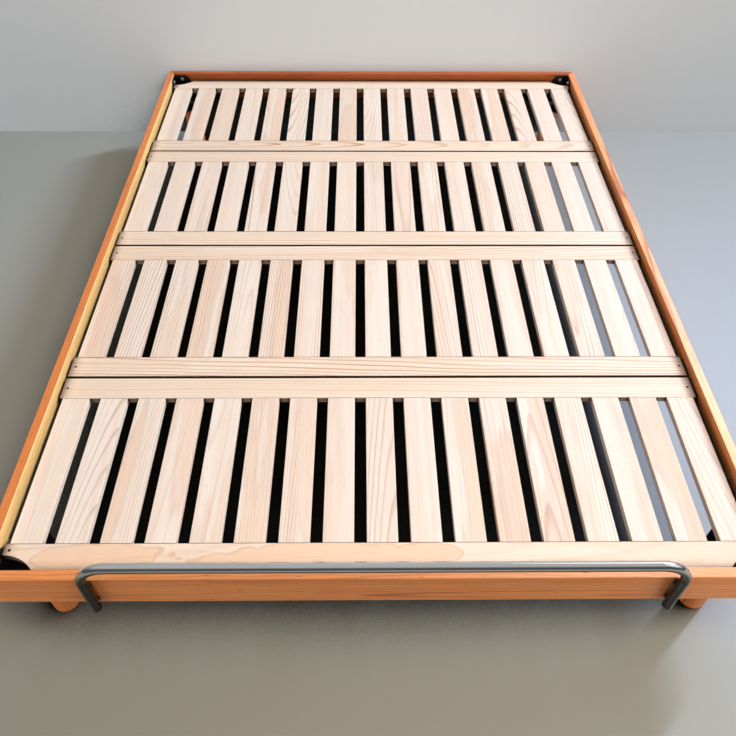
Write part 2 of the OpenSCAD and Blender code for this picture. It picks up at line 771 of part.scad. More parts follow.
side_rail_left();
side_rail_right();
head_rail();
foot_rail();
corner_bracket_head_left();
corner_bracket_head_right();
corner_bracket_foot_left();
corner_bracket_foot_right();
bracket_bolts();
bracket_inserts();
leg_head_left();
leg_head_right();
leg_foot_left();
leg_foot_right();
centre_leg();
leg_studs();
leg_nuts();
leg_glides();
side_ledge_left();
side_ledge_right();
end_ledge_head();
end_ledge_foot();
ledge_screws();
locating_pins();
centre_beam();
beam_bracket_head();
beam_bracket_foot();
beam_screws();
mattress_stop();
stop_spacers();
stop_screws();
rear_member(1);  // panel_1_rear_member
slats(1);  // panel_1_slats
front_member(1);  // panel_1_front_member
rear_member(2);  // panel_2_rear_member
slats(2);  // panel_2_slats
front_member(2);  // panel_2_front_member
rear_member(3);  // panel_3_rear_member
slats(3);  // panel_3_slats
front_member(3);  // panel_3_front_member
rear_member(4);  // panel_4_rear_member
slats(4);  // panel_4_slats
front_member(4);  // panel_4_front_member
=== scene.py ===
"""Looks of a low platform bed with lift-out slatted panels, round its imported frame.

Every size is in metres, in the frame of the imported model: the origin lies on the
floor under the middle of the bed, +X is the right side seen from the foot, +Y is
the head and +Z is up.
"""

import logging
import math
from dataclasses import asdict, dataclass, replace
from enum import Enum

import bmesh
import bpy
from bpy.types import ID, Material, Node, NodeTree, Object
from mathutils import Matrix, Vector


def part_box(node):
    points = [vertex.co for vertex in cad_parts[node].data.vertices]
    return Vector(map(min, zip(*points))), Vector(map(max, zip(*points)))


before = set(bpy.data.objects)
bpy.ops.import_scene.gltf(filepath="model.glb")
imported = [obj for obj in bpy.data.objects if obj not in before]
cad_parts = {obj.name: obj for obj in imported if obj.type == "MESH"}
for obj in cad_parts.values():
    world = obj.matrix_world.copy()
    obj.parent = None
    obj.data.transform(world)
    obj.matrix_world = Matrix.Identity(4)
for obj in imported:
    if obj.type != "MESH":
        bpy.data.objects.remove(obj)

LOG = logging.getLogger("bed")
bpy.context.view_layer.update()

Colour = tuple[float, float, float]
Point = tuple[float, float, float]
Span = tuple[float, float]
Socket = bpy.types.NodeSocket
Sockets = bpy.types.NodeOutputs
Feed = Socket | float | tuple | Vector

BLACK: Colour = (0.0, 0.0, 0.0)
PANEL_COUNT = 4


def srgb(*channels: int) -> Colour:
    """Turns a colour as it looks on screen into the linear one that a shader takes.

    Args:
        *channels: Red, green and blue, 0 to 255.

    Returns:
        The linear colour, 0 to 1 a channel.
    """
    shares = (value / 255 for value in channels)
    return tuple(s / 12.92 if s <= 0.04045 else ((s + 0.055) / 1.055) ** 2.4 for s in shares)


class Sketch:
    """Adds nodes to one node tree and links them as it goes."""

    def __init__(self, tree: NodeTree) -> None:
        """Keeps the tree that the nodes go into."""
        self.tree = tree

    def node(self, kind: str, *values: Feed, **settings: object) -> Node:
        """Adds a node.

        Args:
            kind: The node's class name after ShaderNode, such as Math.
            *values: What its first inputs get.
            **settings: Its properties, such as operation.

        Returns:
            The new node.
        """
        made = self.tree.nodes.new(f"ShaderNode{kind}")
        for name, value in settings.items():
            setattr(made, name, value)
        for socket, value in zip(made.inputs, values):
            self.feed(socket, value)
        return made

    def feed(self, socket: Socket, value: Feed) -> None:
        """Links an output to a socket, or sets the socket's own value.

        Args:
            socket: The input.
            value: The output or the value.
        """
        if isinstance(value, Socket):
            self.tree.links.new(value, socket)
        elif isinstance(value, tuple) and socket.type == "RGBA" and len(value) == 3:
            socket.default_value = (*value, 1.0)
        else:
            socket.default_value = value

    def fill(self, node: Node, **values: Feed) -> Node:
        """Feeds a node's inputs by name.

        Args:
            node: The node.
            **values: What its inputs get, with _ for a blank in a name.

        Returns:
            The node.
        """
        for name, value in values.items():
            self.feed(node.inputs[name.replace("_", " ")], value)
        return node

    def math(self, operation: str, *values: Feed) -> Socket:
        """Adds a Math node of these values and returns its output."""
        return self.node("Math", *values, operation=operation).outputs[0]

    def times(self, first: Feed, second: Feed) -> Socket:
        """Adds a Math node that multiplies and returns its output."""
        return self.math("MULTIPLY", first, second)

    def centred(self, value: Feed) -> Socket:
        """Adds a Math node that takes 0.5 off, so a value from 0 to 1 lies about 0."""
        return self.math("SUBTRACT", value, 0.5)

    def range(
        self, value: Feed, low: Feed, high: Feed, out_low: float = 0.0, out_high: float = 1.0
    ) -> Socket:
        """Adds a smooth step from one level to another.

        Args:
            value: What is read.
            low: Where the step starts.
            high: Where the step ends.
            out_low: What comes out below it.
            out_high: What comes out above it.

        Returns:
            The stepped value.
        """
        made = self.node("MapRange", interpolation_type="SMOOTHSTEP")
        self.fill(made, Value=value, From_Min=low, From_Max=high, To_Min=out_low, To_Max=out_high)
        return made.outputs[0]

    def fall(self, value: Feed, low: Feed, high: Feed) -> Socket:
        """Adds a smooth step down from 1 below low to 0 above high."""
        return self.range(value, low, high, 1.0, 0.0)

    def split(self, vector: Feed) -> list[Socket]:
        """Adds a Separate XYZ and returns its three outputs."""
        return list(self.node("SeparateXYZ", vector).outputs)

    def join(self, *parts: Feed) -> Socket:
        """Adds a Combine XYZ of three parts and returns its vector."""
        return self.node("CombineXYZ", *parts).outputs[0]

    def draw(self, seed: Feed) -> list[Socket]:
        """Adds a fixed random draw and returns its three numbers, 0 to 1."""
        made = self.fill(self.node("TexWhiteNoise", noise_dimensions="1D"), W=seed)
        return self.split(made.outputs["Color"])

    def noise(
        self,
        vector: Feed,
        seed: Feed = 0.0,
        scale: float = 1.0,
        detail: float = 2.0,
        rough: float = 0.5,
    ) -> Socket:
        """Adds a Noise texture.

        Args:
            vector: Where it is read.
            seed: Which of the noises it is.
            scale: Its scale, in waves per metre of the vector.
            detail: How many finer layers it has.
            rough: How strong the finer layers are.

        Returns:
            Its value, about 0.5 in the middle.
        """
        made = self.node("TexNoise", noise_dimensions="4D")
        self.fill(made, Vector=vector, W=seed, Scale=scale, Detail=detail, Roughness=rough)
        return made.outputs[0]

    def mix(self, amount: Feed, first: Feed, second: Feed) -> Socket:
        """Adds a colour mix.

        Args:
            amount: How much of the second colour there is, 0 to 1.
            first: The colour at 0.
            second: The colour at 1.

        Returns:
            The mixed colour.
        """
        made = self.node("Mix", data_type="RGBA")
        colours = [socket for socket in made.inputs if socket.type == "RGBA"]
        for socket, value in zip([made.inputs["Factor"], *colours], (amount, first, second)):
            self.feed(socket, value)
        return next(socket for socket in made.outputs if socket.type == "RGBA")

    def cover(self, under: Feed, mask: Feed, share: float, over: Feed) -> Socket:
        """Lays a colour over another.

        Args:
            under: The colour that is there.
            mask: Where the other one goes, 0 to 1.
            share: How strongly it shows there.
            over: The other one.

        Returns:
            The colour with the other over it.
        """
        return self.mix(self.times(mask, share), under, over)

    def bump(self, height: Feed, depth: float, strength: float) -> Socket:
        """Adds a Bump node of a height from 0 to 1 and a depth in metres, and returns the normal."""
        made = self.fill(self.node("Bump"), Height=height, Distance=depth, Strength=strength)
        return made.outputs[0]

    def placed(self, centre: Vector | Point = (0.0, 0.0, 0.0)) -> Socket:
        """Reads the place on the piece, in metres from the centre, and returns it as a vector."""
        where = self.node("TexCoord").outputs["Object"]
        return self.node("Mapping", where, -Vector(centre), vector_type="POINT").outputs[0]

    def group(self, tree: NodeTree, **values: Feed) -> Sockets:
        """Places a node group, fills its inputs by name and returns its outputs."""
        return self.fill(self.node("Group", node_tree=tree), **values).outputs


def new_group(
    name: str, inputs: dict[str, float | None], outputs: tuple[str, ...]
) -> tuple[Sketch, Sockets, Node]:
    """Starts a shader node group.

    Args:
        name: The group's name.
        inputs: Each input's usual number by name, or None for a vector.
        outputs: The names of its outputs, all of them numbers.

    Returns:
        The sketch of the group, what its inputs give and the node that takes its outputs.
    """
    tree = bpy.data.node_groups.new(name, "ShaderNodeTree")
    for title, usual in inputs.items():
        kind = "NodeSocketVector" if usual is None else "NodeSocketFloat"
        socket = tree.interface.new_socket(title, in_out="INPUT", socket_type=kind)
        if usual is not None:
            socket.default_value = usual
    for title in outputs:
        tree.interface.new_socket(title, in_out="OUTPUT", socket_type="NodeSocketFloat")
    sketch = Sketch(tree)
    return sketch, tree.nodes.new("NodeGroupInput").outputs, tree.nodes.new("NodeGroupOutput")


@dataclass(frozen=True)
class Layer:
    """One noise of a board, and where it starts to show and shows in full.

    Along and across are its waves per metre, seed tells it from the other noises,
    detail is how many finer layers it has and rough is how strong they are.
    """

    along: float
    across: float
    seed: float
    detail: float
    rough: float = 0.5
    shows: Span = (0.0, 1.0)


@dataclass(frozen=True)
class BoardGrain:
    """The solid grain of a sawn board.

    The rings lie round a pith at each board's own depth, offset and lean, so faces
    show straight lines or tall arches and ends show arcs. Late wood rises and falls
    over shares of a ring. Some boards and stretches are plain. Lengths are in metres.
    """

    noise_seed: float = 3.713
    tone_seed: float = 51.7
    ring_seed: float = 17.3
    least_pith_depth: float = 0.014
    pith_depth_spread: float = 0.085
    lean_spread: float = 0.13
    waver: Layer = Layer(2.4, 12.0, 0.0, 2.0)
    uneven: Layer = Layer(1.3, 24.0, 9.1, 1.0)
    uneven_rings: float = 1.6
    late_rise: Span = (0.62, 0.90)
    late_fall: Span = (0.94, 1.0)
    faintest_ring: float = 0.3
    faintest_wood: float = 0.25
    marked: Layer = Layer(0.9, 13.0, 71.3, 1.0, shows=(0.34, 0.56))
    marked_board: Span = (0.05, 0.75)
    heart: Layer = Layer(1.6, 17.0, 21.3, 3.0, shows=(0.46, 0.57))
    rim_rise: Span = (0.485, 0.51)
    rim_fall: Span = (0.52, 0.55)
    streak: Layer = Layer(0.8, 42.0, 83.9, 2.0, shows=(0.40, 0.62))
    fibre: Layer = Layer(14.0, 420.0, 33.9, 3.0, 0.6, shows=(0.30, 0.72))
    pores: Layer = Layer(34.0, 430.0, 47.7, 1.0, shows=(0.69, 0.76))
    flecks: Layer = Layer(22.0, 150.0, 59.1, 2.0, shows=(0.745, 0.80))

    def build(self) -> NodeTree:
        """Builds the group.

        Returns:
            The group. Its place runs along the fibres in X, across the face in Y and
            through the thickness in Z. Aside is how far off the middle the pith may lie.
        """
        sketch, given, out = new_group(
            "board_grain",
            {"Place": None, "Board": 1.0, "Ring": 0.005, "Waver": 0.01, "Aside": 0.2},
            ("Late Wood", "Heart", "Rim", "Streak", "Fibre", "Pores", "Flecks", "Tone", "Blush"),
        )
        axes = sketch.split(given["Place"])
        along, across, deep = axes
        board = given["Board"]
        seed = sketch.times(board, self.noise_seed)
        side, depth, lean = sketch.draw(board)
        tone, blush, plain = sketch.draw(sketch.math("ADD", board, self.tone_seed))

        def noise(layer: Layer) -> Socket:
            """Adds a noise of the board's own.

            Args:
                layer: Which one.

            Returns:
                Its value.
            """
            waves = (layer.along, layer.across, layer.across)
            place = sketch.join(*(sketch.times(axis, wave) for axis, wave in zip(axes, waves)))
            own = sketch.math("ADD", seed, layer.seed)
            return sketch.noise(place, own, detail=layer.detail, rough=layer.rough)

        wave = sketch.times(sketch.centred(noise(self.waver)), given["Waver"])
        pith_side = sketch.times(sketch.centred(side), given["Aside"])
        pith_deep = sketch.math("MULTIPLY_ADD", depth, self.pith_depth_spread, self.least_pith_depth)
        rise = sketch.times(sketch.centred(lean), self.lean_spread)
        from_side = sketch.math("ADD", sketch.math("SUBTRACT", across, pith_side), wave)
        from_deep = sketch.math("MULTIPLY_ADD", along, rise, sketch.math("ADD", deep, pith_deep))
        square = sketch.math("MULTIPLY_ADD", from_side, from_side, sketch.times(from_deep, from_deep))
        rings = sketch.math("DIVIDE", sketch.math("SQRT", square), given["Ring"])
        rings = sketch.math("MULTIPLY_ADD", noise(self.uneven), self.uneven_rings, rings)
        ring = sketch.math("MULTIPLY_ADD", board, self.ring_seed, sketch.math("FLOOR", rings))
        strong = sketch.draw(ring)[0]
        share = sketch.math("FRACT", rings)
        late = sketch.times(sketch.range(share, *self.late_rise), sketch.fall(share, *self.late_fall))
        strong = sketch.math("MULTIPLY_ADD", strong, 1.0 - self.faintest_ring, self.faintest_ring)
        late = sketch.times(late, strong)
        shown = sketch.range(noise(self.marked), *self.marked.shows, self.faintest_wood, 1.0)
        plain = sketch.range(plain, *self.marked_board, self.faintest_wood, 1.0)
        late = sketch.times(late, sketch.times(shown, plain))
        heart = noise(self.heart)
        rim = sketch.times(sketch.range(heart, *self.rim_rise), sketch.fall(heart, *self.rim_fall))
        heart = sketch.range(heart, *self.heart.shows)
        sketch.fill(out, Late_Wood=late, Heart=heart, Rim=rim, Tone=tone, Blush=blush)
        for title in ("Streak", "Fibre", "Pores", "Flecks"):
            layer = getattr(self, title.lower())
            sketch.feed(out.inputs[title], sketch.range(noise(layer), *layer.shows))
        return sketch.tree


@dataclass(frozen=True)
class StainMask:
    """A long patch of heartwood with a wavy rim on a board's face.

    Waves are how many a metre the rim has along and across, and ragged is how far
    they throw it. The rises and falls are shares of the way out to the rim.
    """

    waves: Span = (13.0, 22.0)
    ragged: float = 2.6
    patch_fall: Span = (0.86, 1.0)
    rim_rise: Span = (0.76, 0.90)
    rim_fall: Span = (0.92, 1.0)

    def build(self) -> NodeTree:
        """Builds the group.

        Returns:
            The group. Middle and Half are the patch's middle and half length along
            the board, Side and Width its place and half width across it, in metres.
        """
        inputs = {"Place": None, "Middle": 0.0, "Half": 0.1, "Side": 0.0, "Width": 0.03}
        sketch, given, out = new_group("stain", inputs, ("Patch", "Rim"))
        along, across, deep = sketch.split(given["Place"])
        reach: Feed = 0.0
        for axis, centre, half in ((along, "Middle", "Half"), (across, "Side", "Width")):
            off = sketch.math("DIVIDE", sketch.math("SUBTRACT", axis, given[centre]), given[half])
            reach = sketch.math("MULTIPLY_ADD", off, off, reach)
        along_waves, across_waves = self.waves
        place = sketch.join(sketch.times(along, along_waves), sketch.times(across, across_waves), deep)
        ragged = sketch.centred(sketch.noise(place, given["Middle"], detail=2.0))
        reach = sketch.math("MULTIPLY_ADD", ragged, self.ragged, reach)
        rim = sketch.times(sketch.range(reach, *self.rim_rise), sketch.fall(reach, *self.rim_fall))
        sketch.fill(out, Patch=sketch.fall(reach, *self.patch_fall), Rim=rim)
        return sketch.tree


@dataclass(frozen=True)
class ArrisMask:
    """A piece's edges, for a painted highlight along them, and the same edges rubbed unevenly.

    An edge is where the rounded normal leaves the flat one, told by their product.
    """

    edge_fall: Span = (0.80, 0.99)
    patches_per_metre: float = 38.0
    rubbed: Span = (0.42, 0.62)

    def build(self) -> NodeTree:
        """Builds the group.

        Returns:
            The group. Radius is the width of the band, in metres.
        """
        inputs = {"Place": None, "Radius": 0.002}
        sketch, given, out = new_group("arris", inputs, ("Edge", "Rubbed"))
        round_off = sketch.node("Bevel", samples=4)
        sketch.fill(round_off, Radius=given["Radius"])
        flat = sketch.node("NewGeometry").outputs["True Normal"]
        along = sketch.node("VectorMath", round_off.outputs[0], flat, operation="DOT_PRODUCT")
        edge = sketch.fall(along.outputs["Value"], *self.edge_fall)
        place, scale = given["Place"], self.patches_per_metre
        patchy = sketch.noise(place, seed=4.0, scale=scale, detail=4.0, rough=0.6)
        rubbed = sketch.times(edge, sketch.range(patchy, *self.rubbed))
        # Edge is the whole band along the edges, which the wood paints paler as a highlight; Rubbed is
        # uneven wear along it.
        sketch.fill(out, Edge=edge, Rubbed=rubbed)
        return sketch.tree


@dataclass(frozen=True)
class OrangePeel:
    """The fine relief and the dull smudges of a coated or plated metal."""

    smudges_per_metre: float = 21.0
    smudged: Span = (0.36, 0.68)

    def build(self) -> NodeTree:
        """Builds the group.

        Returns:
            The group. Scale is the relief's waves per metre.
        """
        inputs = {"Place": None, "Scale": 600.0}
        sketch, given, out = new_group("orange_peel", inputs, ("Relief", "Smudge"))
        relief = sketch.node("TexNoise", noise_dimensions="3D")
        sketch.fill(relief, Vector=given["Place"], Scale=given["Scale"], Detail=1.0)
        place, scale = given["Place"], self.smudges_per_metre
        smudge = sketch.noise(place, seed=2.0, scale=scale, detail=5.0, rough=0.62)
        sketch.fill(out, Relief=relief.outputs[0], Smudge=sketch.range(smudge, *self.smudged))
        return sketch.tree


class PaintedCreviceShade:
    """Painted shade: a mask of how open a spot lies to the air, low in gaps and holes, by which the
    wood is darkened there.
    """

    def build(self) -> NodeTree:
        """Builds the group.

        Returns:
            The group. Reach is how far it looks, in metres, and From and To are the
            shares of open air where the mask starts and is full.
        """
        inputs = {"Reach": 0.03, "From": 0.3, "To": 0.8}
        sketch, given, out = new_group("crevice", inputs, ("Open",))
        air = sketch.node("AmbientOcclusion", samples=8)
        sketch.fill(air, Distance=given["Reach"])
        sketch.fill(out, Open=sketch.range(air.outputs["AO"], given["From"], given["To"]))
        return sketch.tree


class Grain(Enum):
    """How a board lies: the model's axes along, across and through it."""

    SLAT = (1, 0, 2)
    MEMBER = (0, 1, 2)
    SIDE_RAIL = (1, 2, 0)
    END_RAIL = (0, 2, 1)
    TURNED = (2, 0, 1)


@dataclass(frozen=True)
class Groups:
    """The node groups that the materials share."""

    grain: NodeTree
    stain: NodeTree
    arris: NodeTree
    peel: NodeTree
    crevice: NodeTree

    @classmethod
    def build(cls) -> "Groups":
        """Builds them all once."""
        makers = (BoardGrain(), StainMask(), ArrisMask(), OrangePeel(), PaintedCreviceShade())
        return cls(*(maker.build() for maker in makers))


def new_material(name: str, one_sided: bool = False) -> tuple[Material, Sketch, Node]:
    """Starts a material.

    Args:
        name: Its name.
        one_sided: Whether it is see-through from behind.

    Returns:
        The material, the sketch of its nodes and its Principled BSDF.
    """
    made = bpy.data.materials.new(name)
    made.use_nodes = True
    made.node_tree.nodes.clear()
    sketch = Sketch(made.node_tree)
    shader = sketch.node("BsdfPrincipled")
    surface = shader.outputs[0]
    if one_sided:
        back = sketch.node("NewGeometry").outputs["Backfacing"]
        clear = sketch.node("BsdfTransparent").outputs[0]
        surface = sketch.node("MixShader", back, surface, clear).outputs[0]
    sketch.node("OutputMaterial", surface)
    return made, sketch, shader


@dataclass(frozen=True)
class Stain:
    """A patch of heartwood on a board's face, in metres from its middle."""

    middle: float
    half: float
    side: float
    width: float


@dataclass(frozen=True)
class Board:
    """One board, or a row of equal slats, and how it was sawn.

    Its number settles its grain. Pitch is the step from slat to slat along X, or 0.
    Aside is how far off the middle its pith may lie, and ends is its half length
    where dark end seams show. Beyond the depth sap_from it is painted paler, as light on a lit face.
    """

    title: str
    lie: Grain
    centre: Vector
    number: int
    pitch: float = 0.0
    aside: float = 0.30
    ends: float = 0.0
    sap_from: float = math.inf
    stains: tuple[Stain, ...] = ()


@dataclass(frozen=True)
class WoodFinish:
    """One kind of wood and how it is finished.

    The ground goes from pale to warm, and each share is how strongly a colour shows
    on it. The edge colour is a painted highlight along the edges, and sap a paler
    colour painted where light falls on a face. Gaps and holes get painted shade: they
    go to the shade's colour, which is full below the first and gone above the second
    share of open air. Dulls are what late wood and fibre add to the roughness. Reach,
    widths and relief are in metres.
    """

    name: str
    pale: Colour
    warm: Colour
    streak: Colour
    heart: Colour
    line: Colour
    pore: Colour
    edge: Colour
    ring: float
    waver: float
    tone_share: float
    streak_share: float
    heart_share: float
    rim_share: float
    line_share: float
    pore_share: float
    fleck_share: float
    edge_share: float
    fibre_share: float
    roughness: float
    sap: Colour
    shade: Colour
    shade_reach: float
    shade_from_to: Span
    relief: float = 0.0003
    stain_share: float = 0.62
    stain_rim_share: float = 0.26
    late_wood_dulls: float = -0.08
    fibre_dulls: float = 0.07
    pore_depth: float = 2.0
    relief_share: float = 0.6
    edge_width: float = 0.0025
    sap_fade: float = 0.001
    seam: Colour = srgb(112, 84, 62)
    seam_width: float = 0.0011

    def colour(self, sketch: Sketch, grain: Sockets, sap: Feed) -> Socket:
        """Puts the wood's colour together.

        Args:
            sketch: The material's sketch.
            grain: What the grain group gives.
            sap: How much of the paler colour, painted light on a lit face, there is, 0 to 1.

        Returns:
            The colour.
        """
        colour = sketch.cover(self.pale, grain["Tone"], self.tone_share, self.warm)
        colour = sketch.cover(colour, grain["Streak"], self.streak_share, self.streak)
        colour = sketch.mix(sap, colour, self.sap)
        heart = sketch.times(grain["Heart"], grain["Blush"])
        rim = sketch.times(grain["Rim"], grain["Blush"])
        for mask, share, over in (
            (heart, self.heart_share, self.heart),
            (rim, self.rim_share, self.line),
            (grain["Late Wood"], self.line_share, self.line),
            (grain["Fibre"], self.fibre_share, self.line),
            (grain["Flecks"], self.fleck_share, self.pore),
            (grain["Pores"], self.pore_share, self.pore),
        ):
            colour = sketch.cover(colour, mask, share, over)
        return colour

    def dress(self, groups: Groups, board: Board) -> Material:
        """Makes this finish for one board, or for a row of equal slats.

        Args:
            groups: The shared node groups.
            board: The board or the row.

        Returns:
            The material.
        """
        made, sketch, shader = new_material(f"{self.name}_{board.title}")
        place = sketch.placed(board.centre)
        axes = sketch.split(place)
        number: Feed = float(board.number)
        if board.pitch:
            steps = sketch.math("FLOOR", sketch.math("MULTIPLY_ADD", axes[0], 1 / board.pitch, 0.5))
            axes[0] = sketch.math("MULTIPLY_ADD", steps, -board.pitch, axes[0])
            number = sketch.math("ADD", steps, number)
        turned = sketch.join(*(axes[i] for i in board.lie.value))
        kind = {"Ring": self.ring, "Waver": self.waver, "Aside": board.aside}
        grain = sketch.group(groups.grain, Place=turned, Board=number, **kind)
        # Painted light: beyond sap_from the board turns to the paler sap colour, for the light on a lit
        # face.
        sap: Feed = 0.0
        if math.isfinite(board.sap_from):
            deep = axes[board.lie.value[2]]
            sap = sketch.range(deep, board.sap_from, board.sap_from + self.sap_fade)
        colour = self.colour(sketch, grain, sap)
        for stain in board.stains:
            shape = {name.title(): value for name, value in asdict(stain).items()}
            patch = sketch.group(groups.stain, Place=turned, **shape)
            colour = sketch.cover(colour, patch["Patch"], self.stain_share, self.heart)
            colour = sketch.cover(colour, patch["Rim"], self.stain_rim_share, self.line)
        # Painted highlight: the edge band is turned towards the paler edge colour all along the piece.
        arris = sketch.group(groups.arris, Place=place, Radius=self.edge_width)
        colour = sketch.cover(colour, arris["Edge"], self.edge_share, self.edge)
        if board.ends:
            along = sketch.math("ABSOLUTE", axes[board.lie.value[0]])
            seam = sketch.range(along, board.ends - self.seam_width, board.ends - self.seam_width / 4)
            colour = sketch.mix(seam, colour, self.seam)
        # Painted shade: gaps, holes and faces deep between parts go towards the shade colour where
        # little open air reaches them.
        start, full = self.shade_from_to
        air = sketch.group(groups.crevice, Reach=self.shade_reach, From=start, To=full)
        colour = sketch.mix(air["Open"], self.shade, colour)
        dull = sketch.math("MULTIPLY_ADD", grain["Late Wood"], self.late_wood_dulls, self.roughness)
        dull = sketch.math("MULTIPLY_ADD", grain["Fibre"], self.fibre_dulls, dull)
        relief = sketch.math("SUBTRACT", grain["Late Wood"], grain["Fibre"])
        relief = sketch.math("MULTIPLY_ADD", grain["Pores"], -self.pore_depth, relief)
        normal = sketch.bump(relief, self.relief, self.relief_share)
        sketch.fill(shader, Base_Color=colour, Roughness=dull, Normal=normal)
        return made


CHERRY = WoodFinish(
    name="cherry",
    pale=srgb(251, 166, 100),
    warm=srgb(240, 140, 76),
    streak=srgb(242, 146, 80),
    heart=srgb(214, 108, 52),
    line=srgb(158, 68, 22),
    pore=srgb(84, 32, 8),
    edge=srgb(252, 182, 116),
    ring=0.0062,
    waver=0.026,
    tone_share=0.6,
    streak_share=0.5,
    heart_share=0.45,
    rim_share=0.25,
    line_share=0.75,
    pore_share=0.55,
    fleck_share=0.8,
    edge_share=0.30,
    fibre_share=0.22,
    roughness=0.38,
    sap=srgb(255, 224, 152),
    shade=srgb(24, 8, 2),
    shade_reach=0.015,
    shade_from_to=(0.30, 0.60),
)
# Painted shade: a darker copy of the cherry, for the head rail that gets less light.
SHADED_CHERRY = replace(
    CHERRY,
    name="deep_cherry",
    pale=srgb(206, 112, 52),
    warm=srgb(184, 90, 36),
    streak=srgb(190, 94, 38),
    heart=srgb(160, 74, 28),
    line=srgb(112, 44, 14),
    edge=srgb(222, 138, 84),
)
PINE = WoodFinish(
    name="pine",
    pale=srgb(251, 243, 237),
    warm=srgb(248, 233, 224),
    streak=srgb(246, 225, 214),
    heart=srgb(244, 211, 186),
    line=srgb(192, 148, 128),
    pore=srgb(170, 120, 88),
    edge=srgb(255, 251, 242),
    ring=0.0058,
    waver=0.014,
    tone_share=0.7,
    streak_share=0.55,
    heart_share=0.65,
    rim_share=0.18,
    line_share=0.82,
    pore_share=0.20,
    fleck_share=0.0,
    edge_share=0.6,
    fibre_share=0.10,
    roughness=0.58,
    sap=srgb(255, 248, 236),
    shade=srgb(70, 40, 22),
    shade_reach=0.020,
    shade_from_to=(0.45, 0.92),
)
WARM_PINE = replace(
    PINE,
    name="warm_pine",
    pale=srgb(252, 239, 228),
    warm=srgb(249, 230, 215),
    streak=srgb(246, 223, 205),
    heart=srgb(243, 206, 174),
    line=srgb(204, 148, 108),
    ring=0.0090,
    heart_share=0.50,
    line_share=0.95,
    shade=srgb(64, 30, 14),
    shade_reach=0.035,
    shade_from_to=(0.58, 0.98),
)


@dataclass(frozen=True)
class MetalFinish:
    """One metal and its coat, plating or polish.

    Spread is what smudges add to the roughness, and peel the relief's waves per
    metre. Flank reflection share is how much a round bar's sides are darkened as a
    painted reflection of the dark room, unless they face up more than flank_up.
    """

    name: str
    base: Colour
    worn: Colour
    roughness: float
    spread: float
    worn_share: float
    peel: float = 700.0
    relief: float = 0.0001
    metallic: float = 1.0
    coat: float = 0.0
    coat_roughness: float = 0.25
    smudge_share: float = 0.12
    relief_share: float = 0.5
    edge_width: float = 0.0012
    flank_share: float = 0.0
    flank_from_to: Span = (0.20, 0.52)
    flank_up: float = 0.5

    def dress(self, groups: Groups) -> Material:
        """Makes the material.

        Args:
            groups: The shared node groups.

        Returns:
            The material.
        """
        made, sketch, shader = new_material(self.name)
        place = sketch.placed()
        peel = sketch.group(groups.peel, Place=place, Scale=self.peel)
        arris = sketch.group(groups.arris, Place=place, Radius=self.edge_width)
        colour = sketch.cover(self.base, peel["Smudge"], self.smudge_share, self.worn)
        colour = sketch.cover(colour, arris["Rubbed"], self.worn_share, self.worn)
        # Painted reflection: the bar's sides are darkened towards black by how far they face away from
        # the view, for the dark room that they mirror.
        if self.flank_share:
            rim = sketch.node("LayerWeight").outputs["Facing"]
            level = sketch.split(sketch.node("NewGeometry").outputs["Normal"])[2]
            low = sketch.fall(level, 0.0, self.flank_up)
            flank = sketch.times(sketch.range(rim, *self.flank_from_to), low)
            colour = sketch.cover(colour, flank, self.flank_share, BLACK)
        dull = sketch.math("MULTIPLY_ADD", peel["Smudge"], self.spread, self.roughness)
        normal = sketch.bump(peel["Relief"], self.relief, self.relief_share)
        sketch.fill(shader, Base_Color=colour, Roughness=dull, Normal=normal, Metallic=self.metallic)
        sketch.fill(shader, Coat_Weight=self.coat, Coat_Roughness=self.coat_roughness)
        return made


BLACK_STEEL = MetalFinish(
    "black_powder_coat",
    srgb(11, 11, 12),
    srgb(60, 60, 62),
    roughness=0.40,
    spread=0.12,
    worn_share=0.35,
    peel=900.0,
    relief=0.0002,
    metallic=0.0,
    coat=0.15,
)
# Painted shade: the pins are near black, for the shade in the holes over them.
SHADE_DARK_PIN = replace(
    BLACK_STEEL,
    name="shade_dark_pin",
    base=srgb(10, 10, 11),
    worn=srgb(40, 40, 42),
    roughness=0.70,
    spread=0.10,
    worn_share=0.2,
    coat=0.0,
)
POLISHED_TUBE = MetalFinish(
    "polished_stainless",
    srgb(226, 226, 224),
    srgb(176, 176, 174),
    roughness=0.04,
    spread=0.03,
    worn_share=0.0,
    peel=60.0,
    flank_share=0.95,
)
BRIGHT_ZINC = MetalFinish(
    "bright_zinc", srgb(240, 241, 244), srgb(190, 190, 188), roughness=0.36, spread=0.12, worn_share=0.3
)
# Painted shadow: a dark zinc for the spacers and screws behind the tube, for the shadow that the tube
# casts there.
SHADOW_DARK_ZINC = MetalFinish(
    "shadow_dark_zinc", srgb(74, 74, 76), srgb(50, 50, 50), roughness=0.50, spread=0.16, worn_share=0.4
)
TURNED_BRASS = MetalFinish(
    "turned_brass",
    srgb(206, 168, 92),
    srgb(150, 112, 56),
    roughness=0.28,
    spread=0.14,
    worn_share=0.4,
    peel=800.0,
)


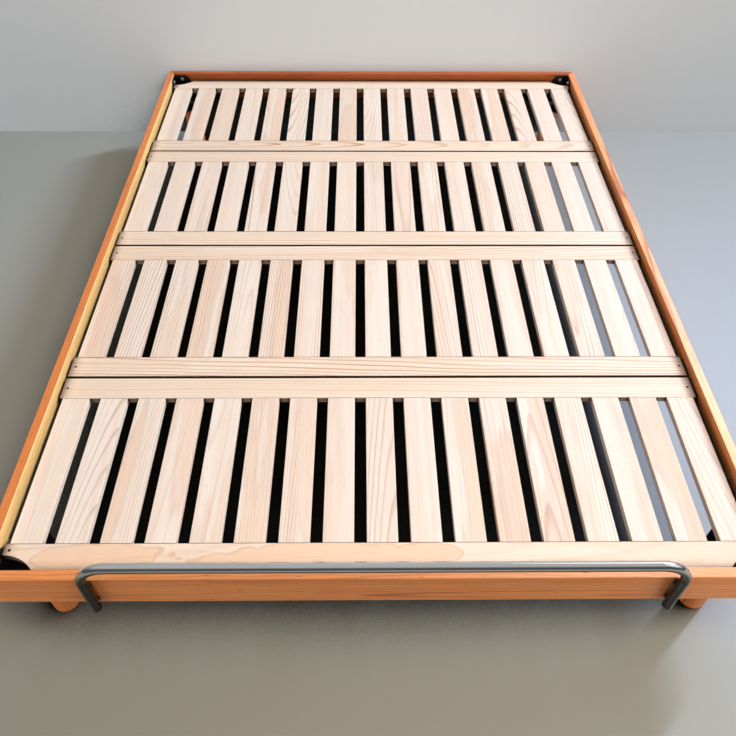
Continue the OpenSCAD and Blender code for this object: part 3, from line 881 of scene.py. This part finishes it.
@dataclass(frozen=True)
class FeltFinish:
    """Pressed felt under the legs, of matted fibres in clumps."""

    name: str = "pressed_felt"
    base: Colour = srgb(96, 91, 86)
    fuzz: Colour = srgb(142, 136, 128)
    fibres_per_metre: float = 900.0
    clumps_per_metre: float = 120.0
    fuzzy: Span = (0.16, 0.36)
    roughness: float = 0.95
    sheen: float = 0.4
    relief: float = 0.0006
    relief_share: float = 0.8

    def dress(self) -> Material:
        """Makes the material.

        Returns:
            The material.
        """
        made, sketch, shader = new_material(self.name)
        place = sketch.placed()
        fine, coarse = self.fibres_per_metre, self.clumps_per_metre
        fibres = sketch.noise(place, seed=1.0, scale=fine, detail=5.0, rough=0.75)
        clumps = sketch.noise(place, seed=5.0, scale=coarse, detail=3.0, rough=0.6)
        amount = sketch.range(sketch.times(fibres, clumps), *self.fuzzy)
        colour = sketch.mix(amount, self.base, self.fuzz)
        normal = sketch.bump(fibres, self.relief, self.relief_share)
        sketch.fill(shader, Base_Color=colour, Roughness=self.roughness, Normal=normal)
        sketch.fill(shader, Sheen_Weight=self.sheen)
        return made


def add(name: str, data: ID) -> Object:
    """Adds an object to the scene.

    Args:
        name: Its name.
        data: Its mesh, lamp or camera.

    Returns:
        The object.
    """
    made = bpy.data.objects.new(name, data)
    bpy.context.scene.collection.objects.link(made)
    return made


def paint(nodes: list[str], material: Material) -> None:
    """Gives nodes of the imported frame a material.

    Args:
        nodes: Their names.
        material: What they get.
    """
    for name in nodes:
        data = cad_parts[name].data
        data.materials.clear()
        data.materials.append(material)
        LOG.info("dressed %s in %s", name, material.name)


def middle(node: str) -> Vector:
    """Returns the middle of a node's box."""
    low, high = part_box(node)
    return (low + high) / 2


CORNERS = tuple(f"{end}_{side}" for end in ("head", "foot") for side in ("left", "right"))


@dataclass
class Rails:
    """The four rails, each a board of its own.

    Flat sawn and rift sawn are how far off the middle the pith may lie.
    """

    groups: Groups
    numbers: tuple[tuple[str, int], ...] = (
        ("side_rail_left", 7),
        ("side_rail_right", 12),
        ("head_rail", 21),
        ("foot_rail", 34),
    )
    flat_sawn: float = 0.05
    rift_sawn: float = 0.30
    sap_depth: float = 0.0016

    def dress(self) -> None:
        """Gives each rail its own grain, the left one a tall flame and a paler inner face as painted
        light, the head rail a darker copy as painted shade.
        """
        for node, number in self.numbers:
            lie = Grain.SIDE_RAIL if node.startswith("side") else Grain.END_RAIL
            board = Board(node, lie, middle(node), number, aside=self.rift_sawn)
            # Painted light: the left rail's inner face is painted paler, for the window light that
            # falls on it.
            if node == "side_rail_left":
                sap_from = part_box(node)[1].x - middle(node).x - self.sap_depth
                board = replace(board, aside=self.flat_sawn, sap_from=sap_from)
            # Painted shade: the head rail gets the darker copy of the cherry.
            wood = SHADED_CHERRY if node == "head_rail" else CHERRY
            paint([node], wood.dress(self.groups, board))


@dataclass
class Legs:
    """The turned legs and the glides under them."""

    groups: Groups
    first_board: int = 60

    def dress(self) -> None:
        """Gives each leg its own grain and the glides their felt."""
        legs = [f"leg_{corner}" for corner in CORNERS] + ["centre_leg"]
        for step, node in enumerate(legs):
            board = Board(node, Grain.TURNED, middle(node), self.first_board + step)
            paint([node], CHERRY.dress(self.groups, board))
        paint(["leg_glides"], FeltFinish().dress())


@dataclass
class Fittings:
    """The steel brackets, ledges and pins with all the fasteners."""

    groups: Groups

    def dress(self) -> None:
        """Gives the steel its coat and the fasteners their plating."""
        coated = [f"corner_bracket_{corner}" for corner in CORNERS]
        coated += ["side_ledge_left", "side_ledge_right", "end_ledge_head", "end_ledge_foot"]
        coated += ["beam_bracket_head", "beam_bracket_foot"]
        paint(coated, BLACK_STEEL.dress(self.groups))
        # Painted shade: the pins get the near-black finish.
        paint(["locating_pins"], SHADE_DARK_PIN.dress(self.groups))
        bright = ["bracket_bolts", "leg_studs", "leg_nuts", "ledge_screws", "beam_screws"]
        paint(bright, BRIGHT_ZINC.dress(self.groups))
        # Painted shadow: the tube's spacers and screws get the dark zinc.
        paint(["stop_spacers", "stop_screws"], SHADOW_DARK_ZINC.dress(self.groups))
        paint(["bracket_inserts"], TURNED_BRASS.dress(self.groups))


@dataclass
class MattressStop:
    """The bent tube in front of the foot rail."""

    groups: Groups

    def dress(self) -> None:
        """Gives the tube its polish."""
        paint(["mattress_stop"], POLISHED_TUBE.dress(self.groups))


@dataclass
class SlattedPanel:
    """One of the loose panels: two cross members with slats between them.

    Each slat and member is a board whose number follows from the first ones, and
    numbers apart is how far the slats' numbers of two panels lie apart.
    """

    groups: Groups
    number: int
    slat_pitch: float = 0.08971875
    first_slat: int = 100
    numbers_apart: int = 20
    first_member: int = 211
    foot_stains: tuple[Stain, ...] = (
        Stain(middle=-0.560, half=0.155, side=0.000, width=0.034),
        Stain(middle=-0.100, half=0.270, side=0.004, width=0.036),
    )

    def dress(self) -> None:
        """Gives every slat and member its own board."""
        rear, slats, front = (
            f"panel_{self.number}_{part}" for part in ("rear_member", "slats", "front_member")
        )
        joint = (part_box(rear)[0].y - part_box(front)[1].y) / 2
        first = self.first_slat + self.number * self.numbers_apart
        row = Board(slats, Grain.SLAT, middle(slats), first, pitch=self.slat_pitch, ends=joint)
        paint([slats], PINE.dress(self.groups, row))
        for step, node in enumerate((rear, front)):
            number = self.first_member + 2 * self.number + step
            board = Board(node, Grain.MEMBER, middle(node), number)
            if self.number == PANEL_COUNT and node == front:
                board = replace(board, stains=self.foot_stains)
            paint([node], WARM_PINE.dress(self.groups, board))


@dataclass
class CentreBeam:
    """The beam under the middle slats."""

    groups: Groups
    number: int = 300

    def dress(self) -> None:
        """Gives the beam its grain."""
        node = "centre_beam"
        board = Board(node, Grain.SLAT, middle(node), self.number)
        paint([node], PINE.dress(self.groups, board))


@dataclass(frozen=True)
class Stage:
    """The plain floor, and the wall behind the head. Both are see-through from behind.

    The bed's shade is deepened over its reach: a share of open air below the first
    of covered is dark, and one below the second of near is dimmed. Spans across and
    along mask the floor that no window light reaches, under and behind the bed.
    Sides point the way that the air is counted.
    """

    half_width: float = 9.0
    floor_colour: Colour = srgb(186, 188, 180)
    floor_dirt: float = 0.92
    floor_bounce: float = 0.25
    floor_side: Point = (0.75, 0.05, 0.66)
    floor_gloss: float = 0.3
    floor_roughness: float = 0.45
    wall_colour: Colour = srgb(214, 220, 226)
    wall_side: Point = (0.3, -0.8, 0.52)
    wall_y: float = 1.080
    wall_height: float = 3.2
    wall_glow: float = 0.31
    wall_roughness: float = 0.9
    shade_reach: float = 1.0
    covered: Span = (0.42, 0.66)
    near: Span = (0.50, 0.95)
    near_share: float = 0.88
    dark_share: float = 0.02
    mask_left: Span = (-0.76, -0.70)
    under_right: Span = (0.575, 0.635)
    under_front: Span = (-0.96, -0.88)
    under_share: float = 0.94
    behind_right: Span = (0.62, 0.72)
    behind_front: Span = (0.78, 0.92)
    mask_back: Span = (1.08, 1.30)

    def plane(self, name: str, half_height: float, place: Matrix) -> Object:
        """Makes a flat stage piece.

        Args:
            name: Its name.
            half_height: Its half height, or half length for the floor.
            place: Where it stands.

        Returns:
            The object.
        """
        shape = bmesh.new()
        size = Matrix.Diagonal((self.half_width, half_height, 1.0, 1.0))
        bmesh.ops.create_grid(shape, x_segments=1, y_segments=1, size=1.0, matrix=place @ size)
        data = bpy.data.meshes.new(name)
        shape.to_mesh(data)
        shape.free()
        made = add(name, data)
        LOG.info("set up the %s", name)
        return made

    def dimmed(self, share: float) -> Colour:
        """Returns a share of the floor's colour."""
        return tuple(c * share for c in self.floor_colour)

    def shaded(self, sketch: Sketch, colour: Feed, side: Point) -> tuple[Socket, Socket]:
        """Paints the shade that the bed casts on the stage close to it deeper.

        Args:
            sketch: The stage material's sketch.
            colour: The stage's colour.
            side: The way that the open air is counted.

        Returns:
            The colour, near black where the bed covers it, and the mask of what lies open.
        """
        air = sketch.node("AmbientOcclusion", samples=16)
        sketch.fill(air, Distance=self.shade_reach, Normal=sketch.join(*side))
        lit = sketch.range(air.outputs["AO"], *self.covered)
        near = sketch.range(air.outputs["AO"], *self.near, self.near_share, 1.0)
        colour = sketch.mix(near, BLACK, colour)
        return sketch.mix(lit, self.dimmed(self.dark_share), colour), lit

    def under_bed(self, sketch: Sketch) -> Socket:
        """Masks the floor under the bed and behind it, where painted shadow goes.

        Args:
            sketch: The floor material's sketch.

        Returns:
            The mask.
        """
        across, along, _ = sketch.split(sketch.placed())
        left = sketch.range(across, *self.mask_left)
        under = sketch.range(across, *self.under_right, self.under_share, 0.0)
        under = sketch.times(under, sketch.range(along, *self.under_front))
        behind = sketch.fall(across, *self.behind_right)
        behind = sketch.times(behind, sketch.range(along, *self.behind_front))
        both = sketch.math("MAXIMUM", under, behind)
        return sketch.times(left, sketch.times(sketch.fall(along, *self.mask_back), both))

    def floor(self) -> Object:
        """Lays the floor, a little uneven in tone, with painted shade close to and under the bed.

        Returns:
            The floor.
        """
        made = self.plane("floor", self.half_width, Matrix.Identity(4))
        material, sketch, shader = new_material("floor", one_sided=True)
        dirt = sketch.noise(sketch.placed(), seed=3.0, scale=0.8, detail=3.0)
        colour = sketch.mix(dirt, self.floor_colour, self.dimmed(self.floor_dirt))
        # Painted shade: darker where little open air reaches near the bed, and near black under and
        # behind it.
        colour, lit = self.shaded(sketch, colour, self.floor_side)
        colour = sketch.mix(self.under_bed(sketch), colour, self.dimmed(self.dark_share))
        bounced = sketch.node("LightPath").outputs["Is Diffuse Ray"]
        colour = sketch.mix(bounced, colour, self.dimmed(self.floor_bounce))
        gloss = sketch.times(lit, self.floor_gloss)
        sketch.fill(shader, Base_Color=colour, Specular_IOR_Level=gloss, Roughness=self.floor_roughness)
        made.data.materials.append(material)
        return made

    def wall(self) -> Object:
        """Stands the wall, which lets the window's light through, glows as painted light for the camera
        and in gloss, and has painted shade near the bed.

        Returns:
            The wall.
        """
        half = self.wall_height / 2
        place = Matrix.Translation((0, self.wall_y, half)) @ Matrix.Rotation(math.pi / 2, 4, "X")
        made = self.plane("wall", half, place)
        made.visible_shadow = False
        material, sketch, shader = new_material("wall", one_sided=True)
        # Painted shade near the bed, as on the floor.
        colour = self.shaded(sketch, self.wall_colour, self.wall_side)[0]
        # Painted light: the wall glows for the camera and in gloss, though it is no lamp.
        path = sketch.node("LightPath")
        seen = sketch.math("MAXIMUM", path.outputs["Is Camera Ray"], path.outputs["Is Glossy Ray"])
        glow = sketch.times(seen, self.wall_glow)
        sketch.fill(shader, Base_Color=colour, Emission_Color=colour, Emission_Strength=glow)
        sketch.fill(shader, Roughness=self.wall_roughness)
        made.data.materials.append(material)
        return made


@dataclass(frozen=True)
class Sky:
    """The light from all round, and the room that gloss shows.

    Level is how strong it lights and seen how bright the camera sees it. In gloss the
    ceiling is brighter than the rest, and the window's side adds to both.
    """

    colour: Colour = srgb(250, 250, 252)
    level: float = 0.12
    seen: float = 0.80
    ceiling_ahead: float = 0.4
    ceiling_up: float = 0.92
    ceiling_from_to: Span = (0.20, 0.75)
    rest_glow: float = 0.10
    ceiling_glow: float = 0.55
    window_across: float = 0.8
    window_up: float = 0.6
    window_from_to: Span = (0.85, 1.0)
    window_glow: float = 0.8

    def build(self) -> None:
        """Sets the scene's world."""
        world = bpy.data.worlds.new("sky")
        bpy.context.scene.world = world
        world.use_nodes = True
        world.node_tree.nodes.clear()
        sketch = Sketch(world.node_tree)
        path = sketch.node("LightPath").outputs
        across, ahead, up = sketch.split(sketch.node("TexCoord").outputs["Generated"])
        ceiling = sketch.times(up, self.ceiling_up)
        ceiling = sketch.math("MULTIPLY_ADD", ahead, self.ceiling_ahead, ceiling)
        ceiling = sketch.range(ceiling, *self.ceiling_from_to, self.rest_glow, self.ceiling_glow)
        window = sketch.times(up, self.window_up)
        window = sketch.math("MULTIPLY_ADD", across, self.window_across, window)
        window = sketch.range(window, *self.window_from_to, 0.0, self.window_glow)
        room = sketch.math("ADD", ceiling, window)
        shown = sketch.math("MAXIMUM", path["Is Camera Ray"], path["Is Transmission Ray"])
        strength = sketch.math("MULTIPLY_ADD", shown, self.seen - self.level, self.level)
        gloss = sketch.times(path["Is Glossy Ray"], sketch.math("SUBTRACT", room, self.level))
        glow = sketch.node("Background")
        sketch.fill(glow, Color=self.colour, Strength=sketch.math("ADD", strength, gloss))
        sketch.node("OutputWorld", glow.outputs[0])


@dataclass(frozen=True)
class Lamp:
    """A rectangular lamp, with its power in watts.

    Only_on are the only objects that it lights, or none for all of them, and
    never_on the only ones that it leaves dark. A gloss lamp shows as nothing but
    gloss, and gloss never shows the others.
    """

    name: str
    place: Point
    aim: Point
    size: Span
    power: float
    colour: Colour
    only_on: tuple[Object, ...] = ()
    never_on: tuple[Object, ...] = ()
    gloss: bool = False

    def hang(self) -> None:
        """Makes the lamp and links it to what it lights."""
        data = bpy.data.lights.new(self.name, "AREA")
        data.shape = "RECTANGLE"
        data.size, data.size_y = self.size
        data.energy = self.power
        data.color = self.colour
        made = add(self.name, data)
        made.location = self.place
        ahead = Vector(self.aim) - Vector(self.place)
        made.rotation_euler = ahead.to_track_quat("-Z", "Y").to_euler()
        made.visible_camera = False
        made.visible_diffuse = not self.gloss
        made.visible_glossy = self.gloss
        if self.only_on or self.never_on:
            linked = bpy.data.collections.new(f"{self.name}_links")
            for one in self.only_on or self.never_on:
                linked.objects.link(one)
            for member in linked.collection_objects:
                member.light_linking.link_state = "INCLUDE" if self.only_on else "EXCLUDE"
            made.light_linking.receiver_collection = linked
        LOG.info("hung the lamp %s", self.name)


@dataclass(frozen=True)
class Studio:
    """The stage, the sky and the lamps."""

    deck: Point = (0.0, 0.0, 0.24)
    lamplight: Colour = srgb(255, 242, 222)

    def hang_daylight(self, stage: tuple[Object, ...]) -> None:
        """Lets the light of the window in, and its sheen on the bed's right side.

        The stage gets more of the sky's blue, and each kind of piece shows a window of
        its own brightness.

        Args:
            stage: The floor and the wall.
        """
        window = Lamp(
            name="window",
            place=(7.4, 5.2, 6.2),
            aim=self.deck,
            size=(0.8, 2.6),
            power=1040.0,
            colour=srgb(250, 250, 250),
            never_on=stage,
        )
        window.hang()
        blue = srgb(212, 225, 250)
        window = replace(window, name="window_on_stage", power=900.0, colour=blue)
        replace(window, never_on=(), only_on=stage).hang()
        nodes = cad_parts
        rails = tuple(nodes[name] for name in ("side_rail_left", "side_rail_right", "foot_rail"))
        slats = tuple(one for name, one in nodes.items() if name.startswith("panel_"))
        for name, power, colour, lit in (
            ("sheen_on_rails", 240.0, srgb(246, 244, 242), rails),
            ("sheen_on_slats", 120.0, srgb(204, 222, 255), slats),
            ("sheen_on_floor", 180.0, srgb(158, 190, 255), stage[:1]),
            ("sheen_on_tube", 26.0, srgb(244, 246, 250), (nodes["mattress_stop"],)),
        ):
            place, aim, size = (2.0, 1.05, 1.8), (1.0, -1.0, 0.26), (2.0, 2.2)
            Lamp(name, place, aim, size, power, colour, only_on=lit, gloss=True).hang()

    def hang_lamps(self, stage: tuple[Object, ...]) -> None:
        """Hangs the ceiling lamp, the fill from the left and a low lamp at each foot corner.

        Args:
            stage: The floor and the wall.
        """
        place, size = (0.8, -1.8, 3.2), (2.0, 2.0)
        Lamp("ceiling", place, (0.0, -0.2, 0.24), size, power=68.0, colour=self.lamplight).hang()
        place, size = (-6.0, -2.0, 2.4), (3.0, 1.6)
        fill = Lamp("fill", place, self.deck, size, power=5.0, colour=self.lamplight, never_on=stage)
        fill.hang()
        replace(fill, name="fill_on_stage", power=24.0, never_on=(), only_on=stage).hang()
        for name, side, power in (("skirting_left", -1, 15.0), ("skirting_right", 1, 21.0)):
            place, aim, size = (2.3 * side, -2.3, 0.2), (0.5 * side, -1.04, 0.2), (1.6, 0.2)
            Lamp(name, place, aim, size, power, srgb(255, 246, 238), never_on=stage).hang()

    def build(self) -> None:
        """Sets the stage and the lights."""
        stage = (Stage().floor(), Stage().wall())
        Sky().build()
        self.hang_daylight(stage)
        self.hang_lamps(stage)


@dataclass(frozen=True)
class PhotoCamera:
    """The camera that took the picture, looking towards the head and down."""

    lens_mm: float = 35.03
    sensor_mm: float = 36.0
    place: Point = (-0.0433, -1.6624, 1.5466)
    down_deg: float = 47.684
    turn_deg: float = -0.839
    roll_deg: float = -0.526

    def build(self) -> None:
        """Stands the camera and makes it the scene's."""
        data = bpy.data.cameras.new("camera")
        data.lens = self.lens_mm
        data.sensor_width = self.sensor_mm
        made = add("camera", data)
        stands = Matrix.Translation(self.place)
        turns = (("Z", self.turn_deg), ("X", 90.0 - self.down_deg), ("Z", -self.roll_deg))
        for axis, degrees in turns:
            stands @= Matrix.Rotation(math.radians(degrees), 4, axis)
        made.matrix_world = stands
        bpy.context.scene.camera = made


def main() -> None:
    """Dresses the bed and sets the stage, the lamps and the camera."""
    logging.basicConfig(level=logging.INFO, format="%(message)s")
    bpy.context.scene.view_settings.view_transform = "Standard"
    groups = Groups.build()
    PhotoCamera().build()
    Studio().build()
    for part in (Rails, Legs, Fittings, MattressStop, CentreBeam):
        part(groups).dress()
    for number in range(1, PANEL_COUNT + 1):
        SlattedPanel(groups, number).dress()


if __name__ == "__main__":
    main()
